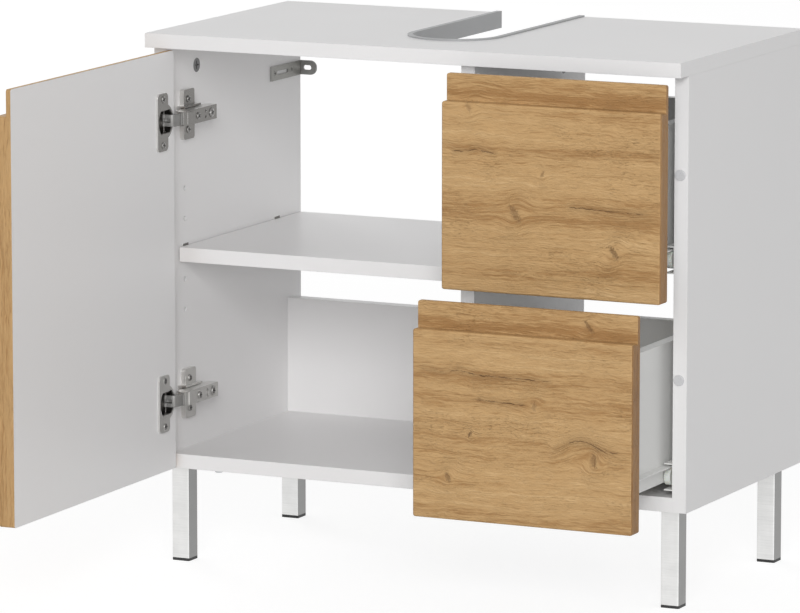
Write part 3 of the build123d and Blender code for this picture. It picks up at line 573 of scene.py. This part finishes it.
by_slot = {
    "white_board": white_board,
    "oak_front": upper_oak,
    "drawer_board": drawer_board,
    "drawer_base": drawer_base,
    "dowel_wood": dowel_wood,
    "zinc_steel": zinc,
    "runner_steel": runner,
    "roller_plastic": nylon,
    "edging_plastic": edging,
    "pad_plastic": pad,
    "bumper_plastic": bumper,
    "leg_steel": leg_steel,
    "bracket_steel": bracket,
    "nickel_steel": nickel,
}
by_node = {
    "lower_drawer_front": lower_oak,
    "door_panel": door_oak,
    "cam_locks": cam_zinc,
    "wall_bracket_screws": bracket,
    "hinge_cups": nickel_cup,
    "hinge_outer_links": nickel_link,
    "hinge_inner_links": nickel_link,
    "hinge_plate_screws": nickel_screw,
    "hinge_arm_screws": nickel_screw,
    "cup_screws": nickel_screw,
}
for row in frame["record"]["subparts"]:
    chosen = by_node.get(row["node"], by_slot[row["material_slot"]])
    mesh = parts[row["node"]].data
    if not mesh.materials:
        mesh.materials.append(chosen)
    for index in range(len(mesh.materials)):
        mesh.materials[index] = chosen


# Screws with a driver recess, in place of the model's plain ones

def islands(mesh):
    """The vertices of each separate body of a bmesh, in order of their middles."""
    seen = set()
    found = []
    for start in mesh.verts:
        if start in seen:
            continue
        seen.add(start)
        group = [start]
        for vertex in group:
            for edge in vertex.link_edges:
                other = edge.other_vert(vertex)
                if other not in seen:
                    seen.add(other)
                    group.append(other)
        found.append(group)

    def middle_of(group):
        places = zip(*(vertex.co for vertex in group))
        return tuple(round((min(values) + max(values)) / 2, 4) for values in places)

    return sorted(found, key=middle_of)


def head_of(points, axis):
    """Where a screw's head ends: its middle, the way that it faces and its radius."""
    across = [index for index in range(3) if index != axis]

    def end(facing):
        furthest = max(point[axis] * facing for point in points)
        near = [point for point in points if point[axis] * facing > furthest - HEAD_BAND]
        low = [min(values) for values in zip(*near)]
        high = [max(values) for values in zip(*near)]
        centre = [(a + b) / 2 for a, b in zip(low, high)]
        centre[axis] = furthest * facing
        return max(high[index] - low[index] for index in across) / 2, centre, facing

    radius, centre, facing = max(end(1), end(-1))
    return centre, facing, radius


def cross_outline(half):
    """A cross with arms that reach 1 and are half to each side of their middle, as (u, v) pairs in turn."""
    quarter = [(1.0, -half), (1.0, half), (half, half)]
    points = []
    for turn in range(4):
        for u, v in quarter:
            for _ in range(turn):
                u, v = -v, u
            points.append((u, v))
    return points


def add_recess(cutter, centre, axis, facing, outline, shrink, depth, angle):
    """Adds a tapered plug to the cutter, from just over the head down into it."""
    across = [(axis + 1) % 3, (axis + 2) % 3]
    rings = []
    for along, scale in ((CUT_OVER, 1.0), (0.0, 1.0), (-depth, shrink)):
        ring = []
        for u, v in outline:
            place = list(centre)
            place[axis] += along * facing
            place[across[0]] += (u * math.cos(angle) - v * math.sin(angle)) * scale
            place[across[1]] += (u * math.sin(angle) + v * math.cos(angle)) * scale
            ring.append(cutter.verts.new(place))
        rings.append(ring)
    count = len(outline)
    for upper, lower in zip(rings, rings[1:]):
        for index in range(count):
            after = (index + 1) % count
            cutter.faces.new((upper[index], upper[after], lower[after], lower[index]))
    cutter.faces.new(rings[0][::-1])
    cutter.faces.new(rings[-1])


def screw_heads(node, body, axis, reach, depth, outline, shrink=0.45, flatten=1.0):
    """A copy of a node's screws with a recess in each head.

    reach is the recess's radius as a share of the head's, depth is in metres, shrink is the recess's size at
    its foot as a share of that at the top, and flatten is what is left of the height of a pan head.
    """
    screws = bmesh.new()
    screws.from_mesh(parts[node].data)
    bmesh.ops.remove_doubles(screws, verts=screws.verts, dist=MERGE)
    cutter = bmesh.new()
    for index, group in enumerate(islands(screws)):
        centre, facing, radius = head_of([vertex.co.copy() for vertex in group], axis)
        seat = centre[axis] - PAN_HEIGHT * facing
        for vertex in group:
            if (vertex.co[axis] - seat) * facing > 0:
                vertex.co[axis] = seat + (vertex.co[axis] - seat) * flatten
        centre[axis] = seat + PAN_HEIGHT * facing * flatten
        shape = [(u * radius * reach, v * radius * reach) for u, v in outline]
        add_recess(cutter, centre, axis, facing, shape, shrink, depth, index * TURN_STEP)
    bmesh.ops.recalc_face_normals(cutter, faces=cutter.faces)
    # The recess walls take the second, darker material: painted shade.
    for face in cutter.faces:
        face.material_index = 1
    pieces = []
    for made, name in ((screws, node + "_recessed"), (cutter, node + "_cutter")):
        mesh = bpy.data.meshes.new(name)
        made.to_mesh(mesh)
        made.free()
        for material in (parts[node].data.materials[0], recess_shade_metal):
            mesh.materials.append(material)
        pieces.append(add_object(name, mesh))
    piece, tool = pieces
    cut = piece.modifiers.new("recess", "BOOLEAN")
    cut.operation = "DIFFERENCE"
    cut.solver = "EXACT"
    cut.object = tool
    bpy.context.view_layer.update()
    evaluated = piece.evaluated_get(bpy.context.evaluated_depsgraph_get())
    finished = bpy.data.meshes.new_from_object(evaluated)
    piece.modifiers.clear()
    piece.data = finished
    bpy.data.objects.remove(tool)
    smooth(finished)
    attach(piece, body)
    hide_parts(node)


MERGE = 1e-6
HEAD_BAND = 0.0006
PAN_HEIGHT = 0.0021
CUT_OVER = 0.0005
TURN_STEP = 0.65
CROSS = cross_outline(0.22)
HEXAGON = [(math.cos(turn * math.pi / 3), math.sin(turn * math.pi / 3)) for turn in range(6)]

screw_heads("hinge_arm_screws", "cabinet", X_AXIS, 0.9, 0.001, CROSS, flatten=0.6)
screw_heads("hinge_plate_screws", "cabinet", X_AXIS, 0.9, 0.001, CROSS, flatten=0.6)
screw_heads("cup_screws", "door", X_AXIS, 0.9, 0.0007, CROSS, flatten=0.4)
screw_heads("wall_bracket_screws", "cabinet", X_AXIS, 0.6, 0.001, CROSS)
screw_heads("runner_screws", "cabinet", X_AXIS, 0.6, 0.001, CROSS)
screw_heads("leg_plate_screws", "cabinet", Z_AXIS, 0.72, 0.0018, CROSS)
screw_heads("confirmat_screws", "cabinet", Z_AXIS, 0.5, 0.0025, HEXAGON, 0.9)


# The flat plate that covers the fork of each outer hinge link

def between(a, b, c, d, share):
    """One coordinate, a share of the way from b to c on a smooth run through a, b, c and d."""
    slope = (c - a) * share
    bend = (2 * a - 5 * b + 4 * c - d) * share * share
    turn = (3 * b - a - 3 * c + d) * share ** 3
    return 0.5 * (2 * b + slope + bend + turn)


def smoothed(points, steps):
    """A rounded run through the points, steps to a stretch."""
    padded = [points[0]] + points + [points[-1]]
    run = []
    for four in zip(padded, padded[1:], padded[2:], padded[3:]):
        for step in range(steps):
            run.append(tuple(between(*values, step / steps) for values in zip(*four)))
    return run + [points[-1]]


def from_door(along, out):
    """A point given from the open door's hinge edge, in millimetres, as x and y in metres."""
    x = DOOR_CORNER[0] + along * DOOR_NORMAL[1] + out * DOOR_NORMAL[0]
    y = DOOR_CORNER[1] - along * DOOR_NORMAL[0] + out * DOOR_NORMAL[1]
    return x / 1000, y / 1000


def link_plate(mesh, outline, low, high):
    """Adds a plate of the outline between two heights."""
    bottom = [mesh.verts.new((*from_door(*point), low)) for point in outline]
    top = [mesh.verts.new((*from_door(*point), high)) for point in outline]
    count = len(outline)
    for index in range(count):
        after = (index + 1) % count
        mesh.faces.new((bottom[index], bottom[after], top[after], top[index]))
    mesh.faces.new(bottom[::-1])
    mesh.faces.new(top)


DOOR_CORNER = (-274.0, -150.5)
PLATE_OUTER = [
    (-1.0, 6.75), (4.0, 6.75), (7.0, 6.55), (9.5, 5.95),
    (11.6, 4.95), (12.4, 3.9), (12.85, 2.9), (12.95, 2.1),
]
PLATE_INNER = [
    (12.5, 2.0), (11.9, 2.6), (10.9, 3.7), (9.7, 4.7),
    (7.0, 5.6), (3.0, 6.1), (-1.0, 6.3),
]
PLATE_STEPS = 5
PLATE_BEVEL = 0.0003
LINK_HEIGHT = 0.0122

links_low, links_high = [corner[Z_AXIS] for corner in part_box("hinge_outer_links")]
plates = bmesh.new()
outline = smoothed(PLATE_OUTER, PLATE_STEPS) + smoothed(PLATE_INNER, PLATE_STEPS)
link_plate(plates, outline, links_low, links_low + LINK_HEIGHT)
link_plate(plates, outline, links_high - LINK_HEIGHT, links_high)
bmesh.ops.recalc_face_normals(plates, faces=plates.faces)
broad_faces = [face for face in plates.faces if len(face.verts) > 4]
rims = [edge for edge in plates.edges if any(face in broad_faces for face in edge.link_faces)]
bmesh.ops.bevel(plates, geom=rims, offset=PLATE_BEVEL, segments=2, profile=0.5, affect="EDGES")
plate_mesh = bpy.data.meshes.new("hinge_link_plates")
plates.to_mesh(plate_mesh)
plates.free()
smooth(plate_mesh)
plate_mesh.materials.append(nickel_link)
link_plates = add_object("hinge_link_plates", plate_mesh)
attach(link_plates, "hinge_links")


# Floor and surroundings

def not_lit_only(graph):
    """1 for a ray from the camera, from gloss or through glass, 0 for one that gathers light."""
    path = graph.node("ShaderNodeLightPath")
    seen = Flow(graph, path.outputs["Is Camera Ray"])
    for name in ("Is Glossy Ray", "Is Transmission Ray"):
        seen = graph.math("MAXIMUM", seen, Flow(graph, path.outputs[name]))
    return seen


AMBIENT = 0.43
FLOOR_HALF = 20.0
FLOOR_TONE = (0.8, 0.8, 0.8, 1.0)
FLOOR_SHOWN_TONE = (0.3, 0.3, 0.3, 1.0)
FLOOR_GLOW = 0.81

world = bpy.data.worlds.new("studio")
bpy.context.scene.world = world
world.use_nodes = True
sky = Graph(world.node_tree)
backdrop = sky.node("ShaderNodeBackground")
backdrop.inputs["Color"].default_value = (1, 1, 1, 1)
sky.plug(backdrop.inputs["Strength"], AMBIENT + not_lit_only(sky) * (1.0 - AMBIENT))
sky_output = sky.node("ShaderNodeOutputWorld")
sky.tree.links.new(backdrop.outputs[0], sky_output.inputs["Surface"])

floor_mesh = bpy.data.meshes.new("floor")
corners = [(x * FLOOR_HALF, y * FLOOR_HALF, 0.0) for x, y in ((-1, -1), (1, -1), (1, 1), (-1, 1))]
floor_mesh.from_pydata(corners, [], [(0, 1, 2, 3)])
floor = add_object("floor", floor_mesh)
floor_material, ground = new_material("white_floor")
dust = ground.noise(ground.combine(*ground.coordinates()), 3.0, 3.0)
lit = ground.node("ShaderNodeBsdfDiffuse")
ground.plug(lit.inputs["Color"], ground.dim(FLOOR_TONE, 0.99 + dust * 0.02))
shown_lit = ground.node("ShaderNodeBsdfDiffuse")
shown_lit.inputs["Color"].default_value = FLOOR_SHOWN_TONE
shown_glow = ground.node("ShaderNodeEmission")
shown_glow.inputs["Strength"].default_value = FLOOR_GLOW
shown = ground.node("ShaderNodeAddShader")
ground.tree.links.new(shown_lit.outputs[0], shown.inputs[0])
ground.tree.links.new(shown_glow.outputs[0], shown.inputs[1])
chosen_floor = ground.node("ShaderNodeMixShader")
ground.plug(chosen_floor.inputs["Fac"], not_lit_only(ground))
ground.tree.links.new(lit.outputs[0], chosen_floor.inputs[1])
ground.tree.links.new(shown.outputs[0], chosen_floor.inputs[2])
floor_output = ground.node("ShaderNodeOutputMaterial")
ground.tree.links.new(chosen_floor.outputs[0], floor_output.inputs["Surface"])
floor_mesh.materials.append(floor_material)


# Lamps

def area_lamp(name, location, target, size, power):
    """A square lamp that looks at the target, its power in watts."""
    data = bpy.data.lights.new(name, "AREA")
    data.shape = "SQUARE"
    data.size = size
    data.energy = power
    lamp = add_object(name, data)
    lamp.location = location
    aim = [there - here for there, here in zip(target, location)]
    flat = math.hypot(aim[0], aim[1])
    lamp.rotation_euler = (math.atan2(flat, -aim[2]), 0, math.atan2(-aim[0], aim[1]))


middle = (0.0, -0.1, 0.3)
area_lamp("front_lamp", (2.4, -5.6, 2.3), middle, 2.4, 205.0)
area_lamp("back_lamp", (-4.7, 3.6, 2.8), middle, 2.0, 70.0)


# Camera

CAMERA_PITCH = 0.16125
CAMERA_TURN = 0.44643

camera_data = bpy.data.cameras.new("photo_camera")
camera_data.sensor_width = 36.0
camera_data.lens = 276.87
camera_data.shift_x = 0.00744
camera_data.clip_end = 60.0
camera = add_object("photo_camera", camera_data)
camera.location = (2.65599, -5.7449, 1.29939)
camera.rotation_euler = (math.pi / 2 - CAMERA_PITCH, 0.0, CAMERA_TURN)
bpy.context.scene.camera = camera
bpy.context.scene.view_settings.view_transform = "Standard"
